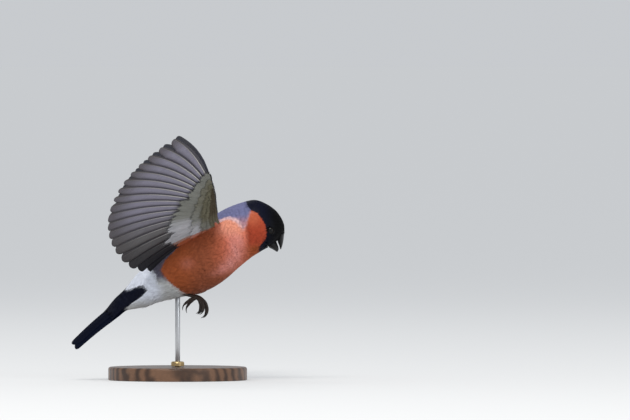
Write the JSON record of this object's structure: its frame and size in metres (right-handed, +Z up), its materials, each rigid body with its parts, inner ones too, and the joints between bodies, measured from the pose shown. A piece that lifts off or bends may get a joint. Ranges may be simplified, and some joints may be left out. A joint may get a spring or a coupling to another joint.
{
  "type": "hovering bullfinch model on a display stand",
  "caption": "Life-size male bullfinch hovering with raised, fanned wings, head bent down and tail closed, held over a round wooden base by a steel rod.",
  "frame": {"origin": "middle of the stand base's underside, where it meets the floor", "axes": "+Z up, +X the way the bird faces, the bird's right side and right wing towards -Y"},
  "size_m": [0.1294, 0.2172, 0.1473],
  "materials": {
    "cap_plumage": "glossy blue-black feathers",
    "rose_plumage": "soft rose-red contour feathers, blue-grey on the back and white at the rump and vent",
    "wing_plumage": "blue-black flight feathers, silvery grey beneath",
    "tail_plumage": "glossy blue-black feathers",
    "eye": "polished, nearly black",
    "bill": "satin black horn",
    "leg_skin": "dark brown scaled skin with black claws",
    "stand_wood": "oiled walnut",
    "stand_brass": "turned",
    "stand_steel": "brushed"
  },
  "bodies": {
    "root": {"head": "cap_plumage", "neck": "rose_plumage", "trunk": "rose_plumage", "tail": "tail_plumage", "wing_right_arm": "wing_plumage", "wing_right_hand": "wing_plumage", "wing_left_arm": "wing_plumage", "wing_left_hand": "wing_plumage", "eye_right": "eye", "eye_left": "eye", "bill_upper": "bill", "bill_lower": "bill", "leg_right": "leg_skin", "leg_left": "leg_skin", "foot_right": "leg_skin", "foot_left": "leg_skin", "stand_base": "stand_wood", "stand_collar": "stand_brass", "stand_rod": "stand_steel"}
  },
  "joints": []
}
